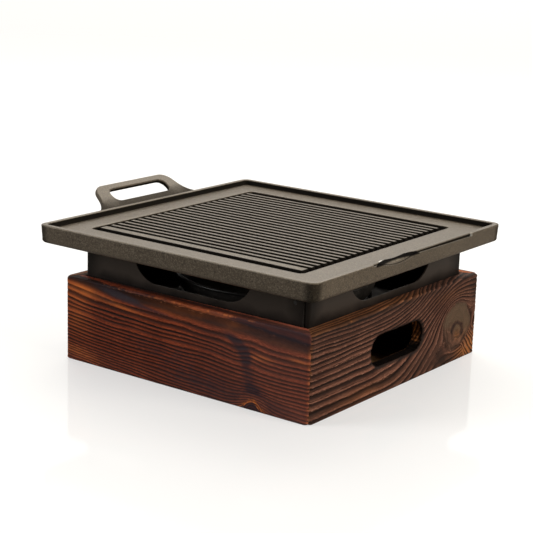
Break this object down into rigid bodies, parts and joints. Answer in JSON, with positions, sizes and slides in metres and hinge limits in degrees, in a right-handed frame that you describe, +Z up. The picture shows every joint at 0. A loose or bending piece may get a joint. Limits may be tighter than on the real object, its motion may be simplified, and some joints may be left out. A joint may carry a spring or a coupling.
{
  "type": "hibachi grill",
  "caption": "Square table-top hibachi: a charred wooden frame holds a metal firebox and fuel bowl under a lift-off ribbed cast plate with a loop handle.",
  "frame": {"origin": "centre of the wooden frame's underside, on the table", "axes": "+Z up; -X towards the plate's loop handle, +X towards its pouring lip; -Y towards the plain front board"},
  "size_m": [0.2346, 0.214, 0.0996],
  "materials": {
    "charred_pine": "scorched and wire-brushed, oiled",
    "raw_pine": "sawn",
    "plywood": "sanded, stained brown",
    "zinc_steel": "zinc plated",
    "black_sheet": "matt heat-resistant black",
    "rivet_steel": "matt black",
    "bowl_steel": "satin black, heat marked",
    "cast_plate": "cast, dark grey non-stick coating"
  },
  "bodies": {
    "frame": {"frame_front_board": "charred_pine", "frame_rear_board": "charred_pine", "frame_left_board": "charred_pine", "frame_right_board": "charred_pine", "corner_post_front_left": "raw_pine", "corner_post_front_right": "raw_pine", "corner_post_rear_left": "raw_pine", "corner_post_rear_right": "raw_pine", "base_panel": "plywood", "base_panel_screws": "zinc_steel"},
    "firebox": {"firebox_front_half": "black_sheet", "firebox_rear_half": "black_sheet", "firebox_floor": "black_sheet", "firebox_rivets": "rivet_steel"},
    "bowl": {"fuel_bowl": "bowl_steel"},
    "plate": {"grill_plate": "cast_plate"}
  },
  "joints": [
    {"name": "firebox_lift", "type": "slide", "parent": "frame", "child": "firebox", "axis": [0, 0, 1], "range_m": [0, 0.08]},
    {"name": "plate_lift", "type": "slide", "parent": "firebox", "child": "plate", "axis": [0, 0, 1], "range_m": [0, 0.12]},
    {"name": "bowl_lift", "type": "slide", "parent": "firebox", "child": "bowl", "axis": [0, 0, 1], "range_m": [0, 0.06]}
  ],
  "couplings": [
    {"joint": "bowl_lift", "follows": "plate_lift", "ratio": 0.5}
  ]
}
